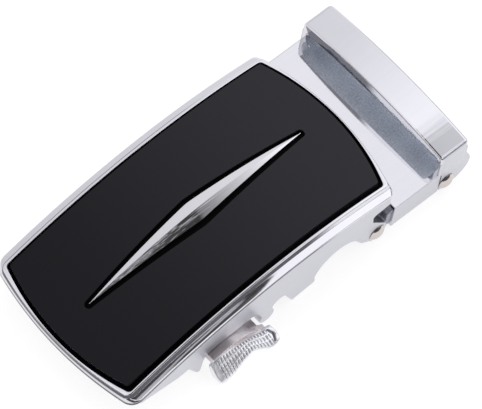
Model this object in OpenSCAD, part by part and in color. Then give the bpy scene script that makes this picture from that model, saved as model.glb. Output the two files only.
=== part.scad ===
// Ratchet belt buckle for a plain strap with a toothed track on its back.
// The case lies face up, a little lower at its open end, with the clip flat beside it.
// X runs along the strap towards the clip, Y across it, Z up from the surface it lies on.

/* [Strap] */
// Width of the strap that the buckle takes
strap_w = 35; // [30:1:40]
// Thickness of the strap
strap_t = 3; // [2.6:0.1:3.2]
// Room beside the strap on each side
strap_gap = 0.6; // [0.4:0.1:1]

/* [Case] */
// Thickness of the case's side walls
wall_t = 1.9; // [1.6:0.1:2.4]
// Length of the panel's seat between its corners
seat_len = 65.4; // [62:0.2:70]
// Rise of the face's arch over the seat
face_rise = 4.7; // [4:0.1:5.4]
// How far the open end of the seat bows out in plan
open_bow = 2.8; // [2.4:0.1:3.6]
// How far the hinge end of the seat bows out in plan
hinge_bow = 3.7; // [3:0.1:4.2]
// Width of the rim at the middle of each end
end_rim = 0.5; // [0.4:0.05:1]
// Width of the rim's upper bevel
rim_in_run = 0.78; // [0.5:0.02:1]
// Drop of the rim's upper bevel
rim_in_drop = 0.86; // [0.6:0.02:1]
// Width of the rim's lower bevel
rim_out_run = 1.37; // [1:0.01:1.8]
// Drop of the rim's lower bevel
rim_out_drop = 0.64; // [0.4:0.02:0.9]
// Drop of the open end's outline from its middle to its corners
open_sag = 2.3; // [2:0.1:2.8]
// Drop of the hinge end's outline from its middle to its corners
hinge_sag = 3.2; // [2.8:0.1:3.6]
// How much the corners at the open end are cut back
open_cut = 1.6; // [1:0.1:2.2]
// How much the corners at the hinge end are cut back
hinge_cut = 0.9; // [0.5:0.1:1.8]
// Flat land between the bevels and the seat
rim_land = 0.15; // [0.1:0.05:0.3]
// Depth of the panel's seat
seat_depth = 1.2; // [1:0.1:1.4]
// Thickness of the face under the seat
face_t = 1.1; // [0.9:0.1:1.4]

/* [Side walls] */
// Distance from the middle of the face to the hinge pin
hinge_x = 29.5; // [28.5:0.5:31]
// Depth of the hinge pin below the corners of the seat
hinge_drop = 13.1; // [12.8:0.1:13.4]
// Radius of the hinge lugs
lug_r = 2.5; // [2.3:0.1:2.6]
// Radius of the long scallop beside the hinge lug
scallop_r = 6.05; // [5.6:0.05:6.4]
// Distance from the middle of the face to the foot's point
foot_x = 16.4; // [15.8:0.2:17.4]
// Depth of the middle tab below the corners of the seat
tab_drop = 12.2; // [11.6:0.1:12.6]
// Depth of the notch's top below the corners of the seat
notch_drop = 3.2; // [3:0.1:3.6]

/* [Panel and ornament] */
// Width of the dark groove round the panel
groove_w = 0.35; // [0.25:0.05:0.5]
// Height of the panel above the rim
panel_rise = 0.45; // [0.2:0.05:0.6]
// Length of the spindle ornament
spindle_len = 56; // [40:1:58]
// Width of the spindle ornament
spindle_w = 5; // [3:0.1:6]
// Height of the spindle's ridge above the panel
spindle_rise = 0.75; // [0.4:0.05:1]
// Width of the dark groove round the spindle
spindle_gap = 0.4; // [0.2:0.05:0.5]
// Depth of the spindle's seat below the top of the panel
spindle_seat = 0.9; // [0.7:0.05:1]

/* [Pins] */
// Radius of the hinge pin
hinge_pin_r = 1; // [0.8:0.05:1.1]
// Radius of the jaw pin
jaw_pin_r = 0.75; // [0.6:0.05:0.85]
// Radius of the pawl pin
pawl_pin_r = 0.8; // [0.7:0.05:0.9]
// Radius of the domed rivet heads
head_r = 1.95; // [1.7:0.05:2.1]
// Height of the domed rivet heads
head_h = 0.8; // [0.5:0.05:1]
// Radial clearance of a pin in a hole that holds it
fixed_gap = 0.02; // [0.01:0.01:0.03]
// Radial clearance of a pin in a hole that turns on it
turn_gap = 0.06; // [0.04:0.01:0.09]

/* [Clip] */
// Thickness of the clip's side walls
clip_wall = 1.4; // [1.2:0.1:1.6]
// Distance from the hinge pin to the start of the clip's base
base_start = 4.2; // [3.8:0.1:4.6]
// Length of the clip's base in front of the keeper loop
base_len = 11.5; // [10:0.5:13]
// Length of the keeper loop along the strap
loop_len = 7.4; // [6:0.1:8]
// Thickness of the plate that the strap's end is pressed against
plate_t = 0.95; // [0.85:0.05:1.1]
// Depth of the rough recess inside the loop
recess_depth = 0.4; // [0.3:0.05:0.5]
// How much narrower the clip is than the case on each side
clip_step = 0.1; // [0:0.05:0.3]
// How far the rough recess starts in front of the loop
recess_lead = 2.6; // [1.5:0.1:3]
// Height of the loop's passage at its sides
loop_gap = 3.9; // [3.7:0.1:4.6]
// Thickness of the loop's bar at its ends
bar_t = 2.5; // [2:0.1:2.8]
// Rise of the bar's arch across the strap
bar_rise = 1.6; // [1:0.1:2]
// Rise of the bar's underside
under_rise = 1.1; // [0.6:0.1:1.4]
// Thickness of the base's front wall
base_wall = 1.6; // [1.4:0.1:2]
// Radius of the round cheeks at the jaw pin
cheek_r = 4.2; // [3.9:0.1:4.4]

/* [Jaw] */
// Thickness of the jaw
jaw_t = 0.8; // [0.7:0.05:0.9]
// Height of the jaw's teeth
tooth_h = 1.1; // [0.8:0.1:1.2]
// Number of the jaw's teeth
teeth = 9; // [6:1:12]

/* [Pawl and release tab] */
// Thickness of the steel pawl
pawl_t = 1; // [0.8:0.05:1.1]
// Length of the pawl's plate from its pin
pawl_len = 15.9; // [15.3:0.1:16.1]
// How far the pawl's tooth stands into the strap's track
bite = 0.5; // [0.3:0.1:0.8]
// Length of the release tab
tab_len = 16.3; // [15.5:0.1:16.6]
// How far the release tab stands out from the side wall
tab_reach = 5.2; // [4.5:0.1:5.5]
// Thickness of the release tab
tab_t = 1.5; // [1.2:0.1:1.6]
// Wire diameter of the return spring
wire_d = 0.6; // [0.4:0.05:0.6]
// Turns of the return spring
spring_turns = 7; // [5:1:9]

/* [Hidden] */
$fn = 48;
tiny = 0.02;
far = 60;
play = 0.3;
arch_steps = 16;

// Sizes across the strap
channel_half = strap_w / 2 + strap_gap;
case_half = channel_half + wall_t;

// The face is an arc of this radius about a line along Y
arch_r = (pow(seat_len / 2, 2) + pow(face_rise, 2)) / (2 * face_rise);
function arch_z(x, up = 0) = sqrt(pow(arch_r + up, 2) - x * x) - arch_r + face_rise;

// Plan outline of the case: two straight sides and two bowed ends, with a rim that is narrow at the ends
seat_inset = rim_out_run + rim_in_run + rim_land;
seat_half = case_half - seat_inset;
function bow_r(half, bow) = (half * half + bow * bow) / (2 * bow);
open_mid = seat_len / 2 + open_bow + end_rim;
hinge_mid = seat_len / 2 + hinge_bow + end_rim;
wall_end = seat_len / 2 + 1.1;
corner_share = 1.54;
ceiling = -seat_depth - face_t;

// The case leans on its feet and hinge lugs, and the clip lies level
case_lean = 6.8;
hinge_z = lug_r;
function lean_x(x, z) = x * cos(case_lean) - z * sin(case_lean);
function lean_z(x, z) = x * sin(case_lean) + z * cos(case_lean);
pin_x = lean_x(hinge_x, -hinge_drop);
case_lift = hinge_z - lean_z(hinge_x, -hinge_drop);
function floor_z(x) = -(case_lift + x * sin(case_lean)) / cos(case_lean);

// Pawl pivot in the feet of the side walls, in the case's own frame
pawl_x = -foot_x - 1.9;
pawl_z = -notch_drop - 1.7;
blind = 1.1;

// Heights of the clip above the surface it lies on
jaw_pin_z = head_r;
plate_low = jaw_pin_z + jaw_pin_r + strap_t - 0.1;
recess_top = plate_low + plate_t;
plate_top = recess_top + recess_depth;
bar_low = recess_top + loop_gap;
bar_top = bar_low + bar_t;
base_x = pin_x + base_start;
loop_x = base_x + base_len;
loop_end = loop_x + loop_len;
jaw_pin_x = loop_x + 2.9;
cheek_x = loop_end - 2.6;
clip_end = cheek_x + cheek_r;
neck_half = channel_half - play;
clip_half = case_half - clip_step;
clip_in = clip_half - clip_wall;
slit_x = loop_x + 0.9;
slit_w = 0.35;

// The origin is the middle of the whole model's box, at the surface
model_left = lean_x(-open_mid, arch_z(open_mid, ceiling));
mid_x = (model_left + clip_end) / 2;
mid_y = (head_h - tab_reach) / 2;

module to_model() {
    translate([-mid_x, -mid_y, 0]) children();
}

// Places what is drawn in the case's own frame
module lean() {
    to_model() translate([0, 0, case_lift]) rotate([0, -case_lean, 0]) children();
}

// Turns an outline in x and z into a bar along Y
module across(from, to) {
    translate([0, to, 0]) rotate([90, 0, 0]) linear_extrude(to - from) children();
}

function arc(cx, cz, r, from, to, steps) = [
    for (i = [0 : steps])
        let (a = from + (to - from) * i / steps)
        [cx + r * cos(a), cz + r * sin(a)]
];

function arch_line(half, up) = [
    for (i = [0 : arch_steps])
        let (x = -half + 2 * half * i / arch_steps)
        [x, arch_z(x, up)]
];

function turned(list) = [for (i = [len(list) - 1 : -1 : 0]) list[i]];

// Right half of the plan outline, drawn in from the edge by an inset
module half_plan(inset, bow, sag, cut) {
    share = min(inset / seat_inset, 1);
    past = max(inset - seat_inset, 0);
    mid = seat_len / 2 + bow + end_rim * (1 - share) - past;
    outer_r = bow_r(case_half, sag);
    r = outer_r + (bow_r(seat_half, bow) - outer_r) * share - past;
    corner = seat_len / 2 + bow + end_rim - sag + case_half - cut;
    intersection() {
        translate([-tiny, inset - case_half]) square([far, 2 * (case_half - inset)]);
        translate([mid - r, 0]) circle(r, $fn = 200);
        rotate(45) square(corner * sqrt(2) - corner_share * inset, center = true);
    }
}

module plan(inset) {
    half_plan(inset, hinge_bow, hinge_sag, hinge_cut);
    mirror([1, 0]) half_plan(inset, open_bow, open_sag, open_cut);
}

// Arched slab between two heights above the rim
module arch_slab(low, high, half) {
    across(-far / 2, far / 2)
        polygon(concat(arch_line(half, high), turned(arch_line(half, low))));
}

// Thin arched sheet that a bevelled face is stretched over
module sheet(inset, up) {
    intersection() {
        translate([0, 0, -far / 2]) linear_extrude(far) plan(inset);
        arch_slab(up - tiny, up, hinge_mid);
    }
}

module face() {
    intersection() {
        union() {
            hull() {
                sheet(0, -rim_in_drop - rim_out_drop);
                sheet(rim_out_run, -rim_in_drop);
            }
            hull() {
                sheet(rim_out_run, -rim_in_drop);
                sheet(rim_out_run + rim_in_run, 0);
            }
        }
        arch_slab(ceiling, 1, hinge_mid + 1);
    }
}

// Outline of a side wall, with its foot, notch, ear, scallops, tab and hinge lug
module wall_outline() {
    top = arch_line(wall_end, -rim_in_drop - rim_out_drop - 0.1);
    slot_top = -hinge_drop + 8.4;
    scallop_x = hinge_x - 10.8;
    scallop_z = -hinge_drop + 0.6;
    foot_z = floor_z(-foot_x);
    ear_z = floor_z(0) + 2.1;
    polygon(concat(
        top,
        [[wall_end, slot_top]],
        arc(hinge_x - 0.5, slot_top - 0.7, 0.7, 90, 180, 4),
        [[hinge_x - 1.2, slot_top - 2.4], [hinge_x + 1.3, slot_top - 6]],
        arc(hinge_x, -hinge_drop, lug_r, 50, -150, 12),
        [[hinge_x - 4.1, -hinge_drop + 0.7]],
        arc(scallop_x, scallop_z, scallop_r, 20, 160, 14),
        [[13.2, -tab_drop + 1.2]],
        arc(12.7, -tab_drop + 0.5, 0.5, 0, -90, 3),
        arc(7.5, -tab_drop + 0.5, 0.5, -90, -165, 3),
        [[5.5, -tab_drop + 4.3]],
        arc(3.9, -tab_drop + 3.4, 2, 40, 160, 8),
        arc(0.6, ear_z, 1.9, 20, -180, 8),
        [[-0.5, -notch_drop - 4]],
        arc(-4.6, -notch_drop - 3.6, 3.6, 0, 90, 6),
        arc(-foot_x + 3.4, -notch_drop - 3, 3, 90, 180, 6),
        [[-foot_x, foot_z + 0.6], [-foot_x - 0.5, foot_z - 0.1], [-foot_x - 1.1, foot_z + 0.6]],
        [[-foot_x - 3.2, foot_z + 5.1], [-22.2, -5.1], [-wall_end, ceiling - 0.3]]
    ));
}

module walls() {
    intersection() {
        union() {
            across(channel_half, case_half) wall_outline();
            across(-case_half, -channel_half) wall_outline();
        }
        translate([0, 0, -far / 2]) linear_extrude(far) plan(0);
        translate([0, 0, case_lift]) cube([3 * far, far, 4 * case_lift], center = true);
    }
}

module rod(x, z, r, from, to) {
    translate([x, to, z]) rotate([90, 0, 0]) cylinder(r = r, h = to - from);
}

module case() {
    color("gainsboro") lean() difference() {
        union() {
            face();
            walls();
        }
        intersection() {
            translate([0, 0, -far / 2]) linear_extrude(far) plan(seat_inset);
            arch_slab(-seat_depth, 3, hinge_mid);
        }
        rod(hinge_x, -hinge_drop, hinge_pin_r + fixed_gap, -far / 2, far / 2);
        rod(pawl_x, pawl_z, pawl_pin_r + fixed_gap, -channel_half - blind, channel_half + blind);
    }
}

// Half width of the spindle at a distance from its middle, as shares of its size
function spindle_half(x) =
    let (s = abs(x) / (spindle_len / 2))
    spindle_w / 2 * (1 - sqrt(s * s + 0.003) + 0.055 * (1 - s) + 0.12 * s * (1 - s));

module spindle_plan(grow) {
    n = 14;
    half = spindle_len / 2;
    side = [for (i = [0 : n]) let (x = -half + 2 * half * i / n) [x, spindle_half(x) + grow]];
    other = [for (i = [n : -1 : 0]) let (x = -half + 2 * half * i / n) [x, -spindle_half(x) - grow]];
    polygon(concat([[-half - 2 * grow, 0]], side, [[half + 2 * grow, 0]], other));
}

module panel() {
    color("black") lean() difference() {
        intersection() {
            translate([0, 0, -far / 2]) linear_extrude(far) plan(seat_inset + groove_w);
            arch_slab(-seat_depth + tiny, panel_rise, hinge_mid);
        }
        intersection() {
            translate([0, 0, -far / 2]) linear_extrude(far) spindle_plan(spindle_gap);
            arch_slab(panel_rise - spindle_seat, 3, hinge_mid);
        }
    }
}

// Long ridged spindle that follows the face's arch
module ornament() {
    n = 16;
    half = spindle_len / 2;
    low = panel_rise - spindle_seat + tiny;
    edge = panel_rise - 0.15;
    rows = [
        for (i = [0 : n])
            let (x = half * (2 * i / n - 1), w = max(spindle_half(x), 0.06))
            let (peak = panel_rise + spindle_rise * (0.12 + 0.88 * w / (spindle_w / 2)))
            [
                [x, -w, arch_z(x, low)], [x, w, arch_z(x, low)], [x, w, arch_z(x, edge)],
                [x, 0, arch_z(x, peak)], [x, -w, arch_z(x, edge)]
            ]
    ];
    color("silver") lean() loft(rows);
}

// Closed solid through rows of points that all have the same count
module loft(rows) {
    m = len(rows[0]);
    n = len(rows) - 1;
    points = [for (row = rows) for (p = row) p];
    sides = [
        for (i = [0 : n - 1]) for (j = [0 : m - 1])
            [i * m + j, i * m + (j + 1) % m, (i + 1) * m + (j + 1) % m, (i + 1) * m + j]
    ];
    first = [[for (j = [m - 1 : -1 : 0]) j]];
    last = [[for (j = [0 : m - 1]) n * m + j]];
    polyhedron(points, concat(first, sides, last), convexity = 4);
}

// Domed head that stands out from a wall towards +Y
module dome() {
    ball_r = (head_r * head_r + head_h * head_h) / (2 * head_h);
    intersection() {
        translate([0, head_h - ball_r, 0]) sphere(ball_r, $fn = 96);
        rotate([-90, 0, 0]) cylinder(r = head_r, h = head_h + 1);
    }
}

// Pin with a domed head outside each wall
module rivet(x, z, r, half) {
    rod(x, z, r, -half - tiny, half + tiny);
    translate([x, half + tiny, z]) dome();
    translate([x, -half - tiny, z]) mirror([0, 1, 0]) dome();
}

module hinge_pin() {
    color("lightgray") lean() rivet(hinge_x, -hinge_drop, hinge_pin_r, case_half);
}

// Side of the clip: base wall, round cheek and the upright of the loop
module clip_side() {
    difference() {
        union() {
            polygon([
                [base_x, 0], [loop_end - 2, 0], [loop_end - 2, plate_top], [base_x, plate_top]
            ]);
            translate([cheek_x, cheek_r]) circle(cheek_r);
            translate([loop_x, plate_top - 1]) square([loop_len, bar_low - plate_top + 1.5]);
        }
        translate([slit_x, -1]) square([slit_w, plate_top - 0.6]);
    }
}

// The loop seen along the strap: rounded outside, arched bar, rounded passage
module loop_outline() {
    out_r = 2.2;
    in_r = 0.9;
    foot_r = 2.6;
    crown_r = (pow(clip_half, 2) + pow(bar_rise, 2)) / (2 * bar_rise);
    crown_z = bar_top + bar_rise - crown_r;
    under_r = (pow(clip_in, 2) + pow(under_rise, 2)) / (2 * under_rise);
    difference() {
        union() {
            intersection() {
                translate([-clip_half, recess_top]) square([2 * clip_half, far]);
                translate([0, crown_z]) circle(crown_r, $fn = 200);
                union() {
                    translate([-clip_half, 0]) square([2 * clip_half, bar_top - out_r]);
                    translate([-clip_half + out_r, 0]) square([2 * (clip_half - out_r), far]);
                    translate([clip_half - out_r, bar_top - out_r]) circle(out_r);
                    translate([-clip_half + out_r, bar_top - out_r]) circle(out_r);
                }
            }
            translate([-clip_half, plate_low]) square([2 * clip_half, plate_t]);
        }
        intersection() {
            translate([0, bar_low + under_rise - under_r]) circle(under_r, $fn = 200);
            union() {
                translate([-clip_in, recess_top + foot_r])
                    square([2 * clip_in, bar_low - recess_top - foot_r - in_r]);
                translate([-clip_in + foot_r, recess_top]) square([2 * (clip_in - foot_r), far]);
                translate([-clip_in + in_r, recess_top + foot_r]) square([2 * (clip_in - in_r), far]);
                for (s = [-1, 1]) {
                    translate([s * (clip_in - foot_r), recess_top + foot_r]) circle(foot_r);
                    translate([s * (clip_in - in_r), bar_low - in_r]) circle(in_r);
                }
            }
        }
    }
}

module clip() {
    neck_r = lug_r - 0.3;
    color("gainsboro") to_model() difference() {
        union() {
            across(clip_in, clip_half) clip_side();
            across(-clip_half, -clip_in) clip_side();
            // Plate under the passage and the wall at its start
            translate([base_x, -clip_in, plate_low])
                cube([loop_end - base_x, 2 * clip_in, plate_t]);
            translate([base_x, -clip_in, plate_low])
                cube([loop_x - recess_lead - base_x, 2 * clip_in, plate_top - plate_low]);
            translate([base_x, -clip_in, 0.6]) cube([base_wall, 2 * clip_in, plate_low]);
            // Neck and hinge barrel
            rod(pin_x, hinge_z, neck_r, -neck_half, neck_half);
            across(-neck_half, neck_half) polygon([
                [pin_x, hinge_z - 1.3], [base_x + 1, hinge_z - 1.3], [base_x + 1, plate_top - 0.6],
                [base_x - 0.6, plate_top - 0.6], [pin_x + 0.6, hinge_z + neck_r - 0.1]
            ]);
            translate([loop_x, 0, 0]) rotate([90, 0, 90]) linear_extrude(loop_len) loop_outline();
        }
        rod(pin_x, hinge_z, hinge_pin_r + turn_gap, -far / 2, far / 2);
        rod(jaw_pin_x, jaw_pin_z, jaw_pin_r + fixed_gap, -far / 2, far / 2);
    }
}

module jaw_pin() {
    color("lightgray") to_model() rivet(jaw_pin_x, jaw_pin_z, jaw_pin_r, clip_half);
}

// Toothed plate with two bent ears that turn on the jaw pin
module jaw() {
    ear_t = 0.8;
    ear_r = 1.5;
    half = clip_in - play;
    low = jaw_pin_z - jaw_pin_r;
    start = base_x + base_wall + 1.2;
    stop = jaw_pin_x - ear_r - 0.2;
    edge = 1.5;
    pitch = 2 * (half - edge) / teeth;
    color("silver") to_model() difference() {
        union() {
            translate([start, -half, low]) cube([stop - start, 2 * half, jaw_t]);
            for (s = [-1, 1]) {
                translate([0, s * (half - ear_t / 2), 0]) {
                    rod(jaw_pin_x, jaw_pin_z, ear_r, -ear_t / 2, ear_t / 2);
                    translate([stop - 1, -ear_t / 2, low])
                        cube([jaw_pin_x - stop + 1, ear_t, ear_r]);
                }
            }
            for (i = [0 : teeth - 1])
                translate([start, -half + edge + pitch * i, low + jaw_t - tiny])
                    rotate([90, 0, 90]) linear_extrude(0.9)
                        polygon([[0.15, 0], [pitch - 0.15, 0], [pitch / 2, tooth_h]]);
        }
        rod(jaw_pin_x, jaw_pin_z, jaw_pin_r + turn_gap, -far / 2, far / 2);
    }
}

// Steel pawl: upper line of its curved plate, from its pin's place below the notch,
// as shares of the plate's length
function from_pawl(run, drop) = [pawl_x + pawl_len * run, -notch_drop - pawl_len * drop];
pawl_line = [
    [pawl_x + 0.4, pawl_z + 0.6], from_pawl(0.233, 0.157), from_pawl(0.371, 0.132),
    from_pawl(0.541, 0.119), from_pawl(0.660, 0.145), from_pawl(0.799, 0.201),
    from_pawl(0.925, 0.289), from_pawl(1, 0.377)
];

module pawl_band(line) {
    polygon(concat(line, [for (i = [len(line) - 1 : -1 : 0]) line[i] - [0.25, pawl_t]]));
}

module pawl() {
    half = channel_half - play;
    barrel_r = 1.5;
    window = (spring_turns * wire_d + 3) / 2;
    tip_x = from_pawl(0.73, 0)[0];
    track = arch_z(tip_x, ceiling) - strap_t;
    last = pawl_line[len(pawl_line) - 1];
    outer = [pawl_line[6], last, from_pawl(1.088, 0.465)];
    color("lightgray") lean() difference() {
        union() {
            across(-half, half) pawl_band(pawl_line);
            rod(pawl_x, pawl_z, barrel_r, -half, half);
            across(-case_half - 1.4, -half) pawl_band([for (i = [1 : 7]) pawl_line[i]]);
            across(-case_half - 1.4, -case_half - 0.4) pawl_band(outer);
            across(-half + 1, half - 1) polygon([
                from_pawl(0.535, 0.164), from_pawl(0.623, 0.164), [tip_x + 0.7, track + bite - 0.5],
                [tip_x, track + bite]
            ]);
        }
        rod(pawl_x, pawl_z, pawl_pin_r + turn_gap, -far / 2, far / 2);
        translate([pawl_x - 3, -window, pawl_z - 3]) cube([5.2, 2 * window, 6]);
    }
}

module pawl_pin() {
    color("lightgray") lean()
        rod(pawl_x, pawl_z, pawl_pin_r, -channel_half - blind + tiny, channel_half + blind - tiny);
}

// Plain coil round the pawl pin with one leg under the pawl
module return_spring() {
    half = spring_turns * wire_d / 2;
    coil_r = pawl_pin_r + 0.12;
    leg_z = pawl_z - coil_r - wire_d / 2;
    color("dimgray") lean() {
        difference() {
            rod(pawl_x, pawl_z, coil_r + wire_d, -half, half);
            rod(pawl_x, pawl_z, coil_r, -far / 2, far / 2);
        }
        translate([pawl_x, half - wire_d / 2, leg_z]) rotate([0, 106, 0])
            cylinder(d = wire_d, h = 0.3 * pawl_len, $fn = 16);
    }
}

// Release tab: a finger grip cast on the pawl's arm, as a curved strip through sections.
// Each row: run along the grip, drop of its inner edge and of its outer edge below the notch,
// all as shares of the grip's length, and the outer reach as a share of tab_reach
tab_rows = [
    [0, 0.270, 0.368, 0.92],
    [0.055, 0.209, 0.411, 0.99],
    [0.153, 0.166, 0.429, 1.00],
    [0.264, 0.172, 0.411, 0.96],
    [0.374, 0.196, 0.368, 0.88],
    [0.485, 0.233, 0.344, 0.80],
    [0.595, 0.276, 0.344, 0.76],
    [0.706, 0.325, 0.387, 0.82],
    [0.804, 0.368, 0.442, 0.90],
    [0.902, 0.405, 0.472, 0.92],
    [1, 0.442, 0.479, 0.80]
];

module release_tab() {
    inner_y = -case_half - 1.5;
    rows = [
        for (row = tab_rows)
            let (x = pawl_x + pawl_len * 0.151 + tab_len * row[0])
            let (in_top = -notch_drop - tab_len * row[1], out_top = -notch_drop - tab_len * row[2])
            let (outer_y = -case_half - tab_reach * row[3])
            let (run = inner_y - outer_y, fall = in_top - out_top, slope = norm([run, fall]))
            let (in_y = fall / slope * tab_t, in_z = -run / slope * tab_t)
            let (blunt = 0.25)
            [
                [x, inner_y, in_top],
                [x, inner_y - run * blunt, in_top - fall * blunt + 0.25],
                [x, outer_y + run * blunt, out_top + fall * blunt + 0.25],
                [x, outer_y, out_top],
                [x, outer_y + in_y * 0.8, out_top + in_z * 0.8],
                [x, inner_y, in_top + in_z]
            ]
    ];
    color("silver") lean() loft(rows);
}

case();
panel();
ornament();
hinge_pin();
clip();
jaw();
jaw_pin();
pawl();
pawl_pin();
return_spring();
release_tab();
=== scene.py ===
import math

import bmesh
import bpy
from mathutils import Matrix, Vector


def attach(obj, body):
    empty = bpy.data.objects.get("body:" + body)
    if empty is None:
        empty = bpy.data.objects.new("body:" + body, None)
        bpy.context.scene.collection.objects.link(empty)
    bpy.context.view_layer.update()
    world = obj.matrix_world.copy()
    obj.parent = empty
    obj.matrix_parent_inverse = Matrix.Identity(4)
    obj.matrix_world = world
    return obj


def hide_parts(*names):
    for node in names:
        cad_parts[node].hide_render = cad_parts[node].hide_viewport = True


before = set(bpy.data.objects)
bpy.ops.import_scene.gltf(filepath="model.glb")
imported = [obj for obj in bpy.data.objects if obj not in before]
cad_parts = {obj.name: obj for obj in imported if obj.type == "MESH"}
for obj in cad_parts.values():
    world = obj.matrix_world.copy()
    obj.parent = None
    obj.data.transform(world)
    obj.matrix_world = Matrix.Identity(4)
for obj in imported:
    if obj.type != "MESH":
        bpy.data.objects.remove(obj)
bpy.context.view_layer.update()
print("frame loaded:", ", ".join(sorted(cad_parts)))

# All lengths below are millimetres, in the case's own frame or in the frame of the surface it lies on.
body = {
    "halfWidth": 20.0,
    "wall": 1.9,
    "seatLength": 65.4,
    "rise": 4.7,
    "lean": 6.8,  # degrees that the case's face tips towards the open end
    "lift": 12.0149,
    "middleX": 10.1023,
    "middleY": -2.2,
    "hingeX": 29.5,
    "hingeDrop": 13.1,
    "lug": 2.5,
}
rim = {
    "outerRun": 1.37,
    "outerDrop": 0.64,
    "innerRun": 0.4,
    "innerDrop": 0.86,
    "land": 0.53,
    "landDrop": 0.05,
    "seatDepth": 1.2,
    "ceiling": -2.3,
    "softEdge": 0.12,
    "landEdge": 0.16,
    "swell": 0.055,  # how far the wide bevel bulges, and its share to the side and up
    "swellAside": 0.43,
    "swellUp": 0.9,
    "bends": (-35.8, 36.7, 0.9),  # first place, last place and step of the cuts that let the face bend
}
ends = {  # the rim is narrow at the two bowed ends; corners are given as hinge end, open end
    "rim": 0.5,
    "step": 0.38,
    "land": 0.28,
    "hingeBow": 3.7,
    "hingeSag": 3.2,
    "openBow": 2.8,
    "openSag": 2.3,
    "outerCorner": (1.6, 2.9),
    "stepCorner": (1.3, 2.2),
    "landCorner": (1.1, 1.5),
    "seatCorner": (0.9, 0.9),
}
seatInset = rim["outerRun"] + rim["innerRun"] + rim["land"]
archRadius = ((body["seatLength"] / 2) ** 2 + body["rise"] ** 2) / (2 * body["rise"])
seatHalf = body["halfWidth"] - seatInset
channelHalf = body["halfWidth"] - body["wall"]

onSurface = Matrix.Scale(0.001, 4) @ Matrix.Translation((-body["middleX"], -body["middleY"], 0))
onCase = (onSurface @ Matrix.Translation((0, 0, body["lift"]))
          @ Matrix.Rotation(math.radians(-body["lean"]), 4, "Y"))


def archHeight(x, up=0.0):
    return math.sqrt((archRadius + up) ** 2 - x * x) - archRadius + body["rise"]


def floorDepth(x):  # height of the surface below the case, in the case's frame
    lean = math.radians(body["lean"])
    return -(body["lift"] + x * math.sin(lean)) / math.cos(lean)


def arcPoints(cx, cz, r, start, end, steps):
    return [
        (cx + r * math.cos(math.radians(start + (end - start) * i / steps)),
         cz + r * math.sin(math.radians(start + (end - start) * i / steps)))
        for i in range(steps + 1)
    ]


def smoothStep(low, high, value):
    t = min(max((value - low) / (high - low), 0.0), 1.0)
    return t * t * (3 - 2 * t)


def between(table, x):  # value at x from a table of (x, value) rows
    if x <= table[0][0]:
        return table[0][1]
    for (x0, v0), (x1, v1) in zip(table, table[1:]):
        if x <= x1:
            t = (x - x0) / (x1 - x0)
            return v0 + (v1 - v0) * t
    return table[-1][1]


def node(tree, kind, **values):
    made = tree.nodes.new(kind)
    for key, value in values.items():
        setattr(made, key, value)
    return made


def mathNode(tree, operation, a, b=None, clamp=False):
    made = node(tree, "ShaderNodeMath", operation=operation, use_clamp=clamp)
    for i, value in enumerate((a, b)):
        if value is None:
            continue
        if isinstance(value, (int, float)):
            made.inputs[i].default_value = value
        else:
            tree.links.new(value, made.inputs[i])
    return made.outputs[0]


def noiseNode(tree, vector, scale, detail=3.0, roughness=0.5):
    made = node(tree, "ShaderNodeTexNoise")
    made.inputs["Detail"].default_value = detail
    made.inputs["Roughness"].default_value = roughness
    if isinstance(scale, (int, float)):
        made.inputs["Scale"].default_value = scale
    else:
        tree.links.new(scale, made.inputs["Scale"])
    tree.links.new(vector, made.inputs["Vector"])
    return made.outputs["Fac"]


def rangeNode(tree, value, low, high, results=(0.0, 1.0), **settings):
    # Turns the span from low to high into the two results.
    made = node(tree, "ShaderNodeMapRange", **settings)
    for key, number in zip(("From Min", "From Max", "To Min", "To Max"), (low, high, *results)):
        made.inputs[key].default_value = number
    tree.links.new(value, made.inputs["Value"])
    return made.outputs["Result"]


def startGroup(name, sockets):
    group = bpy.data.node_groups.new(name, "ShaderNodeTree")
    for key, value in sockets.items():
        kind = "NodeSocketColor" if isinstance(value, tuple) else "NodeSocketFloat"
        group.interface.new_socket(name=key, in_out="INPUT", socket_type=kind).default_value = value
    for key, kind in (("Color", "NodeSocketColor"), ("Roughness", "NodeSocketFloat"),
                      ("Height", "NodeSocketFloat")):
        group.interface.new_socket(name=key, in_out="OUTPUT", socket_type=kind)
    place = node(group, "ShaderNodeTexCoord").outputs["Object"]
    return group, node(group, "NodeGroupInput").outputs, node(group, "NodeGroupOutput").inputs, place


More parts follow.
